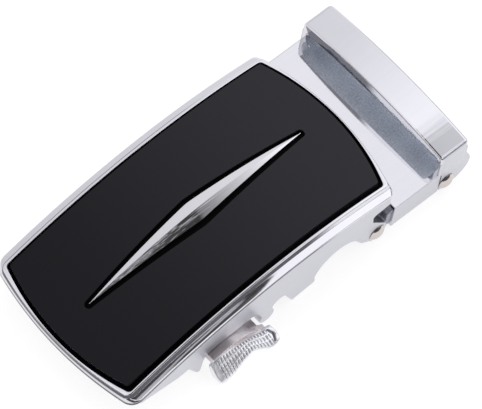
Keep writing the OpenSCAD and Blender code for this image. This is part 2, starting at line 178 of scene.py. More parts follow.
def makePolishGroup():
    # Plated and polished surfaces: slow ripple, cloudy roughness and a few fine hairlines.
    group, given, results, place = startGroup("polishedSkin", {
        "Color": (0.8, 0.8, 0.8, 1), "Shade Color": (0.6, 0.6, 0.6, 1), "Roughness": 0.1, "Cloud": 0.05,
        "Hairlines": 0.3, "Brush": 0.0})
    slow = noiseNode(group, place, 90.0, 2.0)
    fine = noiseNode(group, place, 900.0, 4.0, 0.6)
    turned = node(group, "ShaderNodeMapping")
    turned.inputs["Rotation"].default_value = (0.2, 0.35, 0.6)
    turned.inputs["Scale"].default_value = (18.0, 1100.0, 700.0)
    group.links.new(place, turned.inputs["Vector"])
    lines = noiseNode(group, turned.outputs["Vector"], 1.0, 2.0)
    hair = mathNode(group, "POWER", mathNode(group, "SUBTRACT", lines, 0.44, True), 1.5)
    tint = node(group, "ShaderNodeMix", data_type="RGBA")
    group.links.new(mathNode(group, "MULTIPLY", slow, 0.55), tint.inputs["Factor"])
    group.links.new(given["Color"], tint.inputs["A"])
    group.links.new(given["Shade Color"], tint.inputs["B"])
    group.links.new(tint.outputs["Result"], results["Color"])
    cloudy = mathNode(group, "MULTIPLY", mathNode(group, "SUBTRACT", fine, 0.4), given["Cloud"])
    rough = mathNode(group, "ADD", given["Roughness"], cloudy)
    scratches = mathNode(group, "MULTIPLY", hair, given["Hairlines"])
    group.links.new(mathNode(group, "ADD", rough, scratches, True), results["Roughness"])
    drawn = node(group, "ShaderNodeMapping")
    drawn.inputs["Scale"].default_value = (30.0, 800.0, 800.0)
    group.links.new(place, drawn.inputs["Vector"])
    strokes = noiseNode(group, drawn.outputs["Vector"], 1.0, 2.0)
    brush = mathNode(group, "MULTIPLY", strokes, given["Brush"])
    ripple = mathNode(group, "ADD", slow, mathNode(group, "MULTIPLY", fine, 0.02))
    group.links.new(mathNode(group, "ADD", ripple, brush), results["Height"])
    return group


def makeGrainGroup():
    # Bare cast or blasted surfaces: pebbled grain over slow blotches.
    group, given, results, place = startGroup("castGrain", {
        "Color": (0.4, 0.4, 0.4, 1), "Pit Color": (0.2, 0.2, 0.2, 1), "Scale": 2500.0, "Roughness": 0.5})
    grain = noiseNode(group, place, given["Scale"], 3.0, 0.7)
    blotch = noiseNode(group, place, 160.0, 3.0)
    mixed = mathNode(group, "ADD", mathNode(group, "MULTIPLY", grain, 0.7),
                     mathNode(group, "MULTIPLY", blotch, 0.3))
    tint = node(group, "ShaderNodeMix", data_type="RGBA")
    group.links.new(rangeNode(group, mixed, 0.35, 0.62), tint.inputs["Factor"])
    group.links.new(given["Pit Color"], tint.inputs["A"])
    group.links.new(given["Color"], tint.inputs["B"])
    group.links.new(tint.outputs["Result"], results["Color"])
    rough = mathNode(group, "ADD", given["Roughness"], mathNode(group, "MULTIPLY", grain, 0.2), True)
    group.links.new(rough, results["Roughness"])
    group.links.new(grain, results["Height"])
    return group


polishGroup = makePolishGroup()
grainGroup = makeGrainGroup()


def shareAlong(tree, axis, low, high):
    # Share that grows from 0 to 1 between two places on the model, in metres.
    place = node(tree, "ShaderNodeSeparateXYZ")
    tree.links.new(node(tree, "ShaderNodeTexCoord").outputs["Object"], place.inputs[0])
    return rangeNode(tree, place.outputs[axis], low, high, interpolation_type="SMOOTHSTEP")


def fadeColor(material, color, axis, low, high):
    # Turns the material's colour into another one between two places.
    tree = material.node_tree
    blend = node(tree, "ShaderNodeMix", data_type="RGBA")
    blend.inputs["B"].default_value = color
    base = tree.nodes["Principled BSDF"].inputs["Base Color"]
    tree.links.new(base.links[0].from_socket, blend.inputs["A"])
    tree.links.new(shareAlong(tree, axis, low, high), blend.inputs["Factor"])
    tree.links.new(blend.outputs["Result"], base)


def makeMaterial(name, group, values, metallic=1.0, bump=0.05, bumpDistance=0.0002, **fixed):
    material = bpy.data.materials.new(name)
    material.use_nodes = True
    tree = material.node_tree
    shader = tree.nodes["Principled BSDF"]
    skin = node(tree, "ShaderNodeGroup", node_tree=group)
    for key, value in values.items():
        skin.inputs[key].default_value = value
    tree.links.new(skin.outputs["Color"], shader.inputs["Base Color"])
    tree.links.new(skin.outputs["Roughness"], shader.inputs["Roughness"])
    relief = node(tree, "ShaderNodeBump")
    relief.inputs["Strength"].default_value = bump
    relief.inputs["Distance"].default_value = bumpDistance
    tree.links.new(skin.outputs["Height"], relief.inputs["Height"])
    tree.links.new(relief.outputs["Normal"], shader.inputs["Normal"])
    shader.inputs["Metallic"].default_value = metallic
    for key, value in fixed.items():
        shader.inputs[key].default_value = value
    return material


chrome = makeMaterial("brightChrome", polishGroup, {
    "Color": (0.7, 0.695, 0.735, 1), "Shade Color": (0.63, 0.63, 0.675, 1),
    "Roughness": 0.06, "Cloud": 0.03, "Hairlines": 0.06, "Brush": 0.4}, bump=0.1, bumpDistance=0.0003)
# the same chrome as the face, set darker for the side walls: painted shade
paintedShadeWallChrome = makeMaterial("paintedShadeWallChrome", polishGroup, {
    "Color": (0.6, 0.6, 0.645, 1), "Shade Color": (0.55, 0.55, 0.6, 1),
    "Roughness": 0.3, "Cloud": 0.06, "Hairlines": 0.06, "Brush": 0.4}, bump=0.1, bumpDistance=0.0003)
# dark chrome for the rim's step: a painted dark reflection, fading to the bright chrome towards +X between x
# = 1 and 11 mm
paintedReflectionStepChrome = makeMaterial("paintedReflectionStepChrome", polishGroup, {
    "Color": (0.13, 0.125, 0.14, 1), "Shade Color": (0.05, 0.05, 0.06, 1),
    "Roughness": 0.1, "Cloud": 0.05, "Hairlines": 0.1, "Brush": 1.6}, bump=0.1, bumpDistance=0.0003)
fadeColor(paintedReflectionStepChrome, (0.7, 0.695, 0.735, 1), "X", 0.001, 0.011)
# front of the keeper bar: a painted reflection, near white chrome on the near half, turning dark towards +Y
paintedReflectionBarChrome = makeMaterial("barFrontPaintedReflection", polishGroup, {
    "Color": (0.98, 0.98, 1.0, 1), "Shade Color": (0.9, 0.9, 0.93, 1),
    "Roughness": 0.08, "Cloud": 0.05, "Hairlines": 0.1, "Brush": 0.8}, bump=0.1, bumpDistance=0.0003)
fadeColor(paintedReflectionBarChrome, (0.2, 0.2, 0.22, 1), "Y", 0.0005, 0.0045)
# chrome a little lighter than the case face: partly painted reflection
trimChrome = makeMaterial("spindleChrome", polishGroup, {
    "Color": (0.74, 0.735, 0.765, 1), "Shade Color": (0.66, 0.66, 0.69, 1),
    "Roughness": 0.06, "Cloud": 0.03, "Hairlines": 0.08, "Brush": 1.6}, bump=0.1, bumpDistance=0.0003)
nickel = makeMaterial("nickelRivet", polishGroup, {
    "Color": (0.66, 0.61, 0.59, 1), "Shade Color": (0.52, 0.47, 0.45, 1),
    "Roughness": 0.12, "Cloud": 0.1, "Hairlines": 0.3}, bump=0.2, bumpDistance=0.0004)
steel = makeMaterial("springSteel", polishGroup, {
    "Color": (0.82, 0.77, 0.78, 1), "Shade Color": (0.6, 0.55, 0.55, 1),
    "Roughness": 0.36, "Cloud": 0.15, "Hairlines": 0.4}, bump=0.15, bumpDistance=0.0004)
castMetal = makeMaterial("bareCasting", grainGroup, {
    "Color": (0.66, 0.7, 0.77, 1), "Pit Color": (0.4, 0.43, 0.5, 1),
    "Scale": 2600.0, "Roughness": 0.4}, metallic=0.8, bump=0.5, bumpDistance=0.00012)
# a brighter chrome grey for the release grip: partly painted reflection
gripChrome = makeMaterial("gripChrome", polishGroup, {
    "Color": (0.9, 0.9, 0.93, 1), "Shade Color": (0.76, 0.76, 0.8, 1),
    "Roughness": 0.34, "Cloud": 0.15, "Hairlines": 0.3}, bump=0.15, bumpDistance=0.0003)
# darker metal for the grip's grooves and end bowl: painted shade
paintedShadeGripGroove = makeMaterial("paintedShadeGripGroove", polishGroup, {
    "Color": (0.42, 0.42, 0.45, 1), "Shade Color": (0.24, 0.24, 0.27, 1),
    "Roughness": 0.4, "Cloud": 0.2, "Hairlines": 0.3}, bump=0.15, bumpDistance=0.0003)
# bare casting grain in a darker tone than the recess: painted shade of the case slot the neck sits in
paintedShadeNeckMetal = makeMaterial("neckCastingPaintedShade", grainGroup, {
    "Color": (0.5, 0.51, 0.57, 1), "Pit Color": (0.2, 0.2, 0.24, 1),
    "Scale": 2600.0, "Roughness": 0.3}, metallic=0.8, bump=0.5, bumpDistance=0.00012)
enamel = makeMaterial("blackEnamel", polishGroup, {
    "Color": (0.003, 0.003, 0.006, 1), "Shade Color": (0.0025, 0.0025, 0.005, 1),
    "Roughness": 0.13, "Cloud": 0.05, "Hairlines": 0.12}, metallic=0.0, bump=0.05, bumpDistance=0.0004,
    **{"Specular IOR Level": 0.16})
# the black enamel turns a little greyer towards +X: a painted reflection gradient
fadeColor(enamel, (0.017, 0.0165, 0.021, 1), "X", -0.045, 0.02)
# grey metal on the panel's rounded top edge: a painted highlight, bright at the left end, near black past x =
# -39.5 mm
paintedHighlightEdge = makeMaterial("paintedHighlightEdge", polishGroup, {
    "Color": (0.34, 0.33, 0.35, 1), "Shade Color": (0.22, 0.22, 0.23, 1),
    "Roughness": 0.45, "Cloud": 0.1, "Hairlines": 0.1}, bump=0.05, bumpDistance=0.0004)
fadeColor(paintedHighlightEdge, (0.02, 0.02, 0.022, 1), "X", -0.0425, -0.0395)
# flat black without shine in the gap round the panel and in the spindle's hole: painted shade of deep gaps
paintedShadeBlack = makeMaterial("paintedShadeBlack", grainGroup, {
    "Color": (0.003, 0.003, 0.003, 1), "Pit Color": (0.001, 0.001, 0.001, 1),
    "Scale": 3000.0, "Roughness": 0.6}, metallic=0.0, bump=0.2, bumpDistance=0.0001,
    **{"Specular IOR Level": 0.04})
print("materials made")


def prism(bm, outline, place, depth):
    # Extrudes an outline given in two directions; place(a, b, c) gives the point at depth c.
    verts = [bm.verts.new(place(a, b, depth[0])) for a, b in outline]
    face = bm.faces.new(verts)
    made = bmesh.ops.extrude_face_region(bm, geom=[face])
    top = [g for g in made["geom"] if isinstance(g, bmesh.types.BMVert)]
    move = Vector(place(0, 0, depth[1])) - Vector(place(0, 0, depth[0]))
    bmesh.ops.translate(bm, verts=top, vec=move)


def alongY(a, b, c):  # outline in x and z
    return (a, c, b)


def alongX(a, b, c):  # outline in y and z
    return (c, a, b)


def softenEdges(bm, width, angle=30, segments=2, where=None, material=-1):
    bmesh.ops.recalc_face_normals(bm, faces=bm.faces)
    edges = [e for e in bm.edges if len(e.link_faces) == 2
             and math.degrees(e.calc_face_angle(0)) > angle and (where is None or where(e))]
    bmesh.ops.bevel(bm, geom=edges, offset=width, offset_type="OFFSET", affect="EDGES", segments=segments,
                    profile=0.5, material=material, clamp_overlap=True)


def cutAcross(bm, low, high, step):
    x = low
    while x < high:
        geom = bm.verts[:] + bm.edges[:] + bm.faces[:]
        bmesh.ops.bisect_plane(bm, geom=geom, dist=0.0005, plane_co=(x, 0, 0), plane_no=(1, 0, 0))
        x += step


def bendOverFace(bm):
    for v in bm.verts:
        v.co.z = archHeight(v.co.x, v.co.z)


def makePiece(name, bm, place, material, bodyName, nodes=(), sharpAngle=40, outward=True):
    if outward:
        bmesh.ops.recalc_face_normals(bm, faces=bm.faces)
    for f in bm.faces:
        f.smooth = True
    for e in bm.edges:
        if len(e.link_faces) == 2:
            e.smooth = math.degrees(e.calc_face_angle(0)) < sharpAngle
    bmesh.ops.transform(bm, matrix=place, verts=bm.verts)
    mesh = bpy.data.meshes.new(name)
    bm.to_mesh(mesh)
    bm.free()
    piece = bpy.data.objects.new(name, mesh)
    bpy.context.collection.objects.link(piece)
    for one in (material if isinstance(material, (list, tuple)) else [material]):
        mesh.materials.append(one)
    weigh = piece.modifiers.new("evenShading", "WEIGHTED_NORMAL")
    weigh.keep_sharp = True
    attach(piece, bodyName)
    if nodes:
        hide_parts(*nodes)
    return piece


def bowRadius(half, bow):
    return (half * half + bow * bow) / (2 * bow)


def planPoints(inset, endOut, corners):
    # Outline of the case seen from above, 240 points from the middle of the hinge end.
    half = body["halfWidth"] - inset
    quarters = []
    for bow, sag, corner in ((ends["hingeBow"], ends["hingeSag"], corners[0]),
                             (ends["openBow"], ends["openSag"], corners[1])):
        seatRadius, outerRadius = bowRadius(seatHalf, bow), bowRadius(body["halfWidth"], sag)
        radius = seatRadius + ((outerRadius - seatRadius) * endOut / ends["rim"] if endOut > 0 else endOut)
        centre = body["seatLength"] / 2 + bow + endOut - radius
        cornerX = centre + math.sqrt((radius - corner) ** 2 - (half - corner) ** 2)
        first = math.degrees(math.atan2(half - corner, cornerX - centre))
        quarters.append(arcPoints(centre, 0, radius, 0, first, 20)
                        + arcPoints(cornerX, half - corner, corner, first, 90, 10)[1:])
    hinge, far = quarters[0], [(-x, y) for x, y in quarters[1]]
    start, stop = hinge[-1][0], far[-1][0]
    side = [(start + (stop - start) * i / 60, half) for i in range(1, 60)]
    upper = hinge + side + far[::-1]
    return upper + [(x, -y) for x, y in upper[-2:0:-1]]


def edgesOf(verts):  # each edge once, in the same order in every run
    return list(dict.fromkeys(e for v in verts for e in v.link_edges))


def planRing(bm, inset, endOut, z, corners, shift=(0, 0)):
    points = planPoints(inset, endOut, corners)
    ring = bmesh.ops.create_circle(bm, cap_ends=False, segments=len(points), radius=1.0)["verts"]
    for v in ring:
        x, y = points[round(math.atan2(v.co.y, v.co.x) / math.tau * len(points)) % len(points)]
        v.co = (x + shift[0], y + shift[1], z)
    return edgesOf(ring)


# case: arched face with its bevelled rim
caseBm = bmesh.new()
levels = [
    (0.04, ends["rim"] - 0.04, rim["ceiling"], ends["outerCorner"]),
    (0.04, ends["rim"] - 0.04, -rim["outerDrop"] - rim["innerDrop"], ends["outerCorner"]),
    (rim["outerRun"], ends["step"], -rim["innerDrop"], ends["stepCorner"]),
    (rim["outerRun"] + rim["innerRun"], ends["land"], -rim["landDrop"], ends["landCorner"]),
    (seatInset, 0, 0, ends["seatCorner"]),
    (seatInset, 0, -rim["seatDepth"], ends["seatCorner"]),
]
(in0, end0, z0, corner0), (in1, end1, z1, corner1) = levels[1:3]
for i in (3, 2, 1):  # the wide bevel between these two rings is slightly rounded
    t, swell = i / 4, 4 * rim["swell"] * i / 4 * (1 - i / 4)
    corner = tuple(a + (b - a) * t for a, b in zip(corner0, corner1))
    levels.insert(2, (in0 + (in1 - in0) * t - rim["swellAside"] * swell, end0 + (end1 - end0) * t,
                      z0 + (z1 - z0) * t + rim["swellUp"] * swell, corner))
rings = [planRing(caseBm, *level) for level in levels]
bands = [bmesh.ops.bridge_loops(caseBm, edges=outer + inner)["faces"]
         for outer, inner in zip(rings, rings[1:])]
for f in bands[0] + bands[5]:  # the edge over the wall, and the bevel inside the wide one: dark chrome, a painted reflection
    f.material_index = 2
bmesh.ops.edgeloop_fill(caseBm, edges=rings[0])
seatFloor = bmesh.ops.edgeloop_fill(caseBm, edges=rings[-1])["faces"]
# the seat floor under the panel is painted black shade
for f in seatFloor:
    f.material_index = 1
softenEdges(caseBm, rim["landEdge"], angle=12, segments=3,  # edges of the land
            where=lambda e: all(abs(v.co.z + rim["landDrop"]) < 0.06 for v in e.verts))
softenEdges(caseBm, rim["softEdge"], angle=12, segments=3,  # edges of the wide bevel
            where=lambda e: all(-1.6 < v.co.z < -0.8 for v in e.verts))
cutAcross(caseBm, *rim["bends"])
bendOverFace(caseBm)
caseFace = makePiece("caseFace", caseBm, onCase, [chrome, paintedShadeBlack, paintedReflectionStepChrome], "case",
                     ["case"], sharpAngle=50)
print("case face made:", len(caseFace.data.polygons), "faces")

# case: side walls
sideWall = {  # round cutouts are given as middle x, middle z, radius
    "soft": 0.16,
    "left": -31.8,
    "right": 32.7,
    "underFace": 2.1,
    "slotRise": 8.4,
    "slotCorner": 0.7,
    "strapCutout": (18.7, -12.5, 6.05),
    "tongue": (7.5, 12.7, -11.7, 0.5),  # left x, right x, z and radius of its two round corners
    "smallCutout": (3.9, -8.8, 2.0),
    "earX": 0.6,
    "earRadius": 1.9,
    "windowRight": (-4.6, -8.4, 3.6),
    "windowLeft": (-13.0, -7.8, 3.0),
    "footX": -16.4,
    "belly": (-22.2, -5.1),
}


def wallOutline():
    hx, hz = body["hingeX"], -body["hingeDrop"]
    left, right = sideWall["left"], sideWall["right"]
    top = [(x, archHeight(x, -sideWall["underFace"]))
           for x in [left + (right - left) * i / 60 for i in range(61)]]
    slotTop, corner = hz + sideWall["slotRise"], sideWall["slotCorner"]
    tongueLeft, tongueRight, tongueZ, tongueRadius = sideWall["tongue"]
    earZ = floorDepth(0) + sideWall["earRadius"] + 0.2
    footX = sideWall["footX"]
    footZ = floorDepth(footX)
    lower = [(right, slotTop)]
    lower += arcPoints(hx - 0.5, slotTop - corner, corner, 90, 180, 6)
    lower += [(hx - 1.2, slotTop - 2.4), (hx + 1.3, slotTop - 6)]
    lower += arcPoints(hx, hz, body["lug"], 50, -150, 24)
    lower += [(hx - 4.1, hz + 0.7)]
    lower += arcPoints(*sideWall["strapCutout"], 20, 160, 36)
    lower += [(tongueRight + tongueRadius, tongueZ + 0.7)]
    lower += arcPoints(tongueRight, tongueZ, tongueRadius, 0, -90, 5)
    lower += arcPoints(tongueLeft, tongueZ, tongueRadius, -90, -165, 5)
    lower += [(tongueLeft - 2.0, tongueZ + 3.8)]
    lower += arcPoints(*sideWall["smallCutout"], 40, 160, 14)
    lower += arcPoints(sideWall["earX"], earZ, sideWall["earRadius"], 20, -180, 18)
    lower += [(sideWall["earX"] - 1.3, sideWall["windowRight"][1] - 0.2)]
    lower += arcPoints(*sideWall["windowRight"], 0, 90, 12)
    lower += arcPoints(*sideWall["windowLeft"], 90, 180, 12)
    lower += [(footX, footZ + 0.6), (footX - 0.5, footZ + 0.02), (footX - 1.1, footZ + 0.6)]
    lower += [(footX - 3.2, footZ + 5.1), sideWall["belly"], (left, rim["ceiling"] - 0.3)]
    return (top + lower)[::-1]


wallBm = bmesh.new()
for low, high in ((channelHalf, body["halfWidth"]), (-body["halfWidth"], -channelHalf)):
    prism(wallBm, wallOutline(), alongY, (low, high))
softenEdges(wallBm, sideWall["soft"], angle=60, segments=3)
makePiece("caseWalls", wallBm, onCase, paintedShadeWallChrome, "case", ["case"], sharpAngle=50)
print("side walls made")

# panel
panelLook = {"gap": 0.72, "rise": 0.38, "edge": 0.2, "corner": (0.6, 0.7), "shift": (-0.05, 0.22),
             "bends": (-34.6, 35.4, 1.1)}
spindle = {"left": 26.8, "right": 27.6, "half": 2.25, "rise": 0.58, "edge": 0.42, "shift": 0.5, "gap": 0.8,
           "gapMiddle": 0.35, "bulge": 0.1, "crest": 0.0003, "crestFill": 0.017, "seat": 0.9, "seatLip": 0.12}


def spindleShare(x):
    return min(abs(x) / (spindle["right"] if x > 0 else spindle["left"]), 1.0)


def spindleHalf(x):
    s = spindleShare(x)
    straight = 1 - math.sqrt(s * s + spindle["crest"]) + spindle["crestFill"] * (1 - s)
    return spindle["half"] * max(straight + spindle["bulge"] * s * (1 - s), 0)


def spindleRing(bm, grow, z, count=160):
    # A circle pulled out into the spindle's outline, wider by grow, with round ends.
    ring = bmesh.ops.create_circle(bm, cap_ends=False, segments=count, radius=1.0)["verts"]
    for v in ring:
        tip = spindle["right"] if v.co.x > 0 else spindle["left"]
        x = v.co.x * (tip + grow)
        over = abs(x) - tip
        if over > 0:
            width = math.sqrt(max(grow * grow - over * over, 0.0))
        else:
            width = spindleHalf(x) + grow + spindle["gapMiddle"] * (1 - spindleShare(x))
        v.co = (x, spindle["shift"] + math.copysign(width, v.co.y), z)
    return ring


panelBm = bmesh.new()
panelEdges = [planRing(panelBm, seatInset + panelLook["gap"], -panelLook["gap"], z, panelLook["corner"],
                       panelLook["shift"]) for z in (0.02 - rim["seatDepth"], panelLook["rise"])]
bmesh.ops.bridge_loops(panelBm, edges=panelEdges[0] + panelEdges[1])
bmesh.ops.edgeloop_fill(panelBm, edges=panelEdges[0])
ring = spindleRing(panelBm, spindle["gap"] + spindle["seatLip"], panelLook["rise"])
ringEdges = edgesOf(ring)
bmesh.ops.triangle_fill(panelBm, use_beauty=True, use_dissolve=False, edges=panelEdges[1] + ringEdges,
                        normal=(0, 0, 1))
lower = spindleRing(panelBm, spindle["gap"], panelLook["rise"] - 0.14)
lowerEdges = edgesOf(lower)
bmesh.ops.bridge_loops(panelBm, edges=ringEdges + lowerEdges)
deep = spindleRing(panelBm, spindle["gap"] - 0.06, panelLook["rise"] - spindle["seat"])
deepEdges = edgesOf(deep)
walls = bmesh.ops.bridge_loops(panelBm, edges=lowerEdges + deepEdges)["faces"]
bottom = bmesh.ops.edgeloop_fill(panelBm, edges=deepEdges)["faces"]
# the walls and floor of the spindle's hole are painted black shade
for f in walls + bottom:
    f.material_index = 1
# the panel's top edges are rounded and take the painted highlight material
softenEdges(panelBm, panelLook["edge"], angle=25, segments=3, material=2,
            where=lambda e: e.verts[0].co.z > 0 and (abs(e.verts[0].co.y) > 6 or abs(e.verts[0].co.x) > 31))
cutAcross(panelBm, *panelLook["bends"])
bendOverFace(panelBm)
panel = makePiece("inlayPanel", panelBm, onCase, [enamel, paintedShadeBlack, paintedHighlightEdge], "case",
                  ["panel"], sharpAngle=40)
print("panel made:", len(panel.data.polygons), "faces")

# spindle ornament
spindleBm = bmesh.new()
bmesh.ops.create_grid(spindleBm, x_segments=96, y_segments=12, size=1.0)
for v in spindleBm.verts:
    along, side = v.co.x, v.co.y
    x = along * (spindle["right"] if along > 0 else spindle["left"])
    half = max(spindleHalf(x), 0.05)
    share = half / spindle["half"]
    edge = panelLook["rise"] + spindle["edge"] * (0.3 + 0.7 * share)
    v.co = (x, spindle["shift"] + side * half, edge + spindle["rise"] * share * (1 - abs(side)))
rimEdges = [e for e in spindleBm.edges if e.is_boundary]
made = bmesh.ops.extrude_edge_only(spindleBm, edges=rimEdges)
for v in [g for g in made["geom"] if isinstance(g, bmesh.types.BMVert)]:
    v.co.z = panelLook["rise"] - spindle["seat"] + 0.02
bmesh.ops.edgeloop_fill(spindleBm, edges=[e for e in spindleBm.edges if e.is_boundary])
bendOverFace(spindleBm)
makePiece("spindleOrnament", spindleBm, onCase, trimChrome, "case", ["ornament"],
          sharpAngle=6)
print("ornament made")

# rivets
rivet = {"radius": 1.95, "height": 0.95, "edge": 0.1}


def addRivetHead(bm, x, y, z, side):
    # Profile of the dome turned about its own axis along Y.
    r, h, edge = rivet["radius"], rivet["height"], rivet["edge"]
    ball = ((r * r) + (h - edge) ** 2) / (2 * (h - edge))
    profile = [(0.0, h)]
    steps = 9
    reach = math.asin(r / ball)
    for i in range(1, steps + 1):
        a = reach * i / steps
        profile.append((ball * math.sin(a), ball * math.cos(a) - ball + h))
    profile += [(r, edge * 0.4), (r - 0.06, 0.0), (0.0, 0.0)]
    verts = [bm.verts.new((x + px, y + side * py, z)) for px, py in profile]
    edges = [bm.edges.new(pair) for pair in zip(verts, verts[1:])]
    bmesh.ops.spin(bm, geom=verts + edges, cent=(x, y, z), axis=(0, side, 0), angle=math.tau, steps=40,
                   use_merge=True, use_duplicate=False)


def addRod(bm, x, z, r, low, high, segments=32):
    place = Matrix.Translation((x, (low + high) / 2, z)) @ Matrix.Rotation(math.pi / 2, 4, "X")
    bmesh.ops.create_cone(bm, cap_ends=True, cap_tris=False, segments=segments, radius1=r, radius2=r,
                          depth=high - low, matrix=place)


def makeRivet(name, x, z, radius, half, place, bodyName, nodeName):
    bm = bmesh.new()
    addRod(bm, x, z, radius, -half, half)
    for side in (-1, 1):
        addRivetHead(bm, x, side * (half + 0.02), z, side)
    bmesh.ops.remove_doubles(bm, verts=bm.verts, dist=0.0005)
    return makePiece(name, bm, place, nickel, bodyName, [nodeName], sharpAngle=45)


makeRivet("hingeRivet", body["hingeX"], -body["hingeDrop"], 1.0, 20.0, onCase, "case", "hinge_pin")

# clip
clip = {
    "half": 19.9,
    "inner": 18.5,
    "baseX": 35.0436,
    "loopX": 46.5436,
    "loopEnd": 53.9436,
    "plateLow": 5.6,
    "recessTop": 6.55,
    "plateTop": 6.95,
    "recessX": 43.9,
    "barLow": 10.45,
    "underRise": 1.1,
    "barTop": 12.95,
    "barRise": 1.6,
    "cheekX": 51.3436,
    "cheekR": 4.2,
    "jawPinX": 49.4436,
    "jawPinZ": 1.95,
    "slitX": 47.4436,  # a fine slit up the side wall, from its foot to slitTop
    "slit": 0.35,
    "slitTop": 5.95,
    "shoulderZ": 10.9,
    "pinX": 30.8436,
    "pinZ": 2.5,
    "nearStrip": 18.6,  # the polished plate goes past the recess outside this width
    "recessBend": 13.4,  # the recess's front edge bends back from here to the far side
    "recessBendRun": 5.3,
    "recessHalf": 18.7,
}
makeRivet("jawRivet", clip["jawPinX"], clip["jawPinZ"], 0.75, clip["half"], onSurface, "clip", "jaw_pin")

crownRadius = (clip["half"] ** 2 + clip["barRise"] ** 2) / (2 * clip["barRise"])
crownZ = clip["barTop"] + clip["barRise"] - crownRadius
underRadius = (clip["inner"] ** 2 + clip["underRise"] ** 2) / (2 * clip["underRise"])
underZ = clip["barLow"] + clip["underRise"] - underRadius

loop = {"outerRadius": 1.0, "footRadius": 0.9, "innerRadius": 0.9, "farFillet": 2.6, "nearFillet": 0.3,
        "frontEdge": 0.45, "frontInner": 0.25, "backInner": 0.2, "backEdge": 0.85}


def loopHalf(half, low, lowRadius, highRadius, crown, crownMiddle, steps=40):
    # Half of a closed line round the loop, seen along the strap, from its foot to its crown.
    points = arcPoints(half - lowRadius, low + lowRadius, lowRadius, -90, 0, 8)
    reach = half - highRadius
    crownAt = crownMiddle + math.sqrt(crown**2 - reach**2)
    tilt = math.degrees(math.asin(reach / crown))
    points += arcPoints(reach, crownAt - highRadius, highRadius, 0, 90 - tilt, 8)
    turns = [math.radians(tilt * (1 - i / steps)) for i in range(1, steps)]
    return points + [(crown * math.sin(a), crownMiddle + crown * math.cos(a)) for a in turns]


def wholeRing(far, near, low, top):
    return [(0.0, low)] + far + [(0.0, top)] + [(-y, z) for y, z in reversed(near)]


def outerRing(inset):
    half = loopHalf(clip["half"] - inset, clip["plateLow"] + inset, loop["footRadius"] - inset,
                    loop["outerRadius"] - inset, crownRadius - inset, crownZ)
    return wholeRing(half, half, clip["plateLow"] + inset, crownZ + crownRadius - inset)


def innerRing(outset):
    far, near = (loopHalf(clip["inner"] + outset, clip["recessTop"] - outset, loop[key] + outset,
                          loop["innerRadius"] + outset, underRadius + outset, underZ)
                 for key in ("farFillet", "nearFillet"))
    return wholeRing(far, near, clip["recessTop"] - outset, underZ + underRadius + outset)


def loopSections():
    # The loop's own section as rounded steps: front edge, front face, inside, back face, back edge.
    turn = [math.radians(a) for a in (0, 18, 36, 54, 72, 90)]
    front, inner = loop["frontEdge"], loop["frontInner"]
    backIn, back = loop["backInner"], loop["backEdge"]
    start, end = clip["loopX"], clip["loopEnd"]
    made = [(start + front * (1 - math.sin(a)), outerRing(front * (1 - math.cos(a)))) for a in turn]
    made += [(start + inner * (1 - math.cos(a)), innerRing(inner * (1 - math.sin(a)))) for a in turn]
    made += [(end - backIn * (1 - math.sin(a)), innerRing(backIn * (1 - math.cos(a)))) for a in turn]
    made += [(end - back * (1 - math.cos(a)), outerRing(back * (1 - math.sin(a)))) for a in turn]
    return made + made[:1]


clipBm = bmesh.new()
sections = loopSections()
ringCount, sectionCount = len(sections[0][1]), len(sections) - 1
bmesh.ops.create_grid(clipBm, x_segments=ringCount, y_segments=sectionCount, size=1.0)
for f in clipBm.faces:  # rows run along the sections above, columns round the loop from its foot
    centre = f.calc_center_median()
    row, column = (centre.y + 1) / 2 * sectionCount, (centre.x + 1) / 2 * ringCount
    onBar = 16 < column < ringCount - 16
    onSide = 9 < column < 17 or ringCount - 17 < column < ringCount - 9
    if 11 < row < 12:  # inside the loop
        f.material_index = 1
    elif 4 < row < 7 and onBar:  # front of the keeper bar, with a painted reflection: bright near side, dark far side
        f.material_index = 2
    elif row > 23 and onSide:  # outer faces of the loop's two sides, in the darker chrome of painted shade
        f.material_index = 3
for v in clipBm.verts:
    column = round((v.co.x + 1) / 2 * ringCount) % ringCount
    x, points = sections[round((v.co.y + 1) / 2 * sectionCount)]
    y, z = points[column]
    v.co = (x, y, z)
bmesh.ops.remove_doubles(clipBm, verts=clipBm.verts, dist=0.0005)

sideBm = bmesh.new()
cheek = arcPoints(clip["cheekX"], clip["cheekR"], clip["cheekR"], -90, 51.7, 28)
slitEnd = clip["slitX"] + clip["slit"]
sideOutline = [(clip["baseX"], 0.0), (clip["slitX"], 0.0), (clip["slitX"], clip["slitTop"]),
               (slitEnd, clip["slitTop"]), (slitEnd, 0.0)]
sideOutline += cheek + [(clip["loopEnd"] - 0.02, clip["shoulderZ"]),
                        (clip["loopX"] + 0.02, clip["shoulderZ"]),
                        (clip["loopX"] + 0.02, clip["plateTop"] - 0.04),
                        (clip["baseX"], clip["plateTop"] - 0.04)]
sideIn, sideOut = clip["inner"] + 0.04, clip["half"] - 0.015
for low, high in ((sideIn, sideOut), (-sideOut, -sideIn)):
    prism(sideBm, sideOutline, alongY, (low, high))
softenEdges(sideBm, 0.12, angle=50, segments=3)

